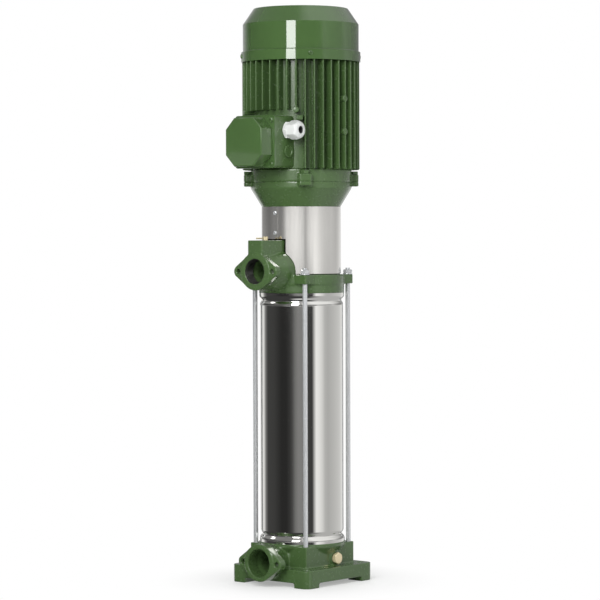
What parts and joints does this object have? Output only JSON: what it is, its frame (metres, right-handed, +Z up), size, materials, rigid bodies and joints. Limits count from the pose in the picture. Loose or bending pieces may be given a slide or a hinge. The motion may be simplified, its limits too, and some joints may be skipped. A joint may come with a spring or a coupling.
{
  "type": "vertical multistage pump",
  "caption": "Vertical in-line pump with cast base and head, steel casing held by tie rods, guarded coupling and a finned electric motor on top.",
  "frame": {"origin": "on the pump's axis, at the underside of the four feet, which is the centre of the anchor hole pattern", "axes": "+Z up along the shaft; -Y the way both ports and the terminal box face; +X the side of the cable gland and the drain plug"},
  "size_m": [0.2024, 0.2477, 0.9716],
  "materials": {
    "green_paint": "semi-gloss green enamel on castings",
    "cover_paint": "gloss green enamel on smooth covers",
    "polished_steel": "mirror-polished stainless tube",
    "brushed_steel": "satin stainless sheet",
    "zinc_steel": "bright zinc plate",
    "brass": "turned brass",
    "gland_plastic": "light grey moulded plastic",
    "terminal_plastic": "black moulded plastic",
    "fan_plastic": "black moulded plastic",
    "stage_steel": "pressed stainless",
    "shaft_steel": "ground steel",
    "bearing_steel": "ground bearing steel",
    "core_steel": "bare core and cast steel",
    "copper_winding": "varnished copper wire",
    "seal_rubber": "black rubber",
    "seal_ceramic": "lapped ceramic",
    "bush_carbon": "carbon and ceramic"
  },
  "bodies": {
    "pump_body": {"base": "green_paint", "drain_plug": "brass", "outer_casing": "polished_steel", "casing_o_rings": "seal_rubber", "tie_rods": "zinc_steel", "tie_rod_washers": "zinc_steel", "tie_rod_nuts": "zinc_steel", "inlet_bowl": "stage_steel", "outlet_bowl": "stage_steel", "hub_bushes": "bush_carbon", "discharge_head": "green_paint", "seal_seat": "seal_ceramic", "coupling_guard": "brushed_steel", "guard_screws": "zinc_steel", "motor_bracket": "green_paint", "bracket_bolts": "zinc_steel", "lower_end_shield": "green_paint", "flange_screws": "green_paint", "motor_frame": "green_paint", "stator_core": "core_steel", "stator_windings": "copper_winding", "upper_end_shield": "green_paint", "fan_cover": "cover_paint", "fan_cover_screws": "zinc_steel", "bearing_outer_rings": "bearing_steel", "bearing_seals": "bearing_steel", "terminal_box": "green_paint", "terminal_cover": "cover_paint", "terminal_cover_screws": "zinc_steel", "terminal_block": "terminal_plastic", "cable_gland_body": "gland_plastic", "cable_gland_nut": "gland_plastic", "blanking_plug": "green_paint", "stage_bowl_1": "stage_steel", "stage_bowl_2": "stage_steel", "stage_bowl_3": "stage_steel", "stage_bowl_4": "stage_steel", "stage_bowl_5": "stage_steel", "stage_bowl_6": "stage_steel", "stage_bowl_7": "stage_steel", "stage_bowl_8": "stage_steel"},
    "rotating_assembly": {"pump_shaft": "shaft_steel", "shaft_nut": "shaft_steel", "seal_face": "bush_carbon", "seal_bellows": "seal_rubber", "coupling_halves": "core_steel", "coupling_bolts": "zinc_steel", "motor_shaft": "shaft_steel", "rotor_core": "core_steel", "bearing_inner_rings": "bearing_steel", "cooling_fan": "fan_plastic", "impeller_1": "stage_steel", "impeller_2": "stage_steel", "impeller_3": "stage_steel", "impeller_4": "stage_steel", "impeller_5": "stage_steel", "impeller_6": "stage_steel", "impeller_7": "stage_steel", "impeller_8": "stage_steel"},
    "vent_screw": {"vent_screw": "brass"}
  },
  "joints": [
    {"name": "shaft_spin", "type": "hinge", "parent": "pump_body", "child": "rotating_assembly", "pos_m": [0, 0, 0.6], "axis": [0, 0, 1], "continuous": true},
    {"name": "vent_screw_turn", "type": "hinge", "parent": "pump_body", "child": "vent_screw", "pos_m": [0, -0.092, 0.58], "axis": [0, 0, 1], "range_deg": [0, 270]}
  ]
}
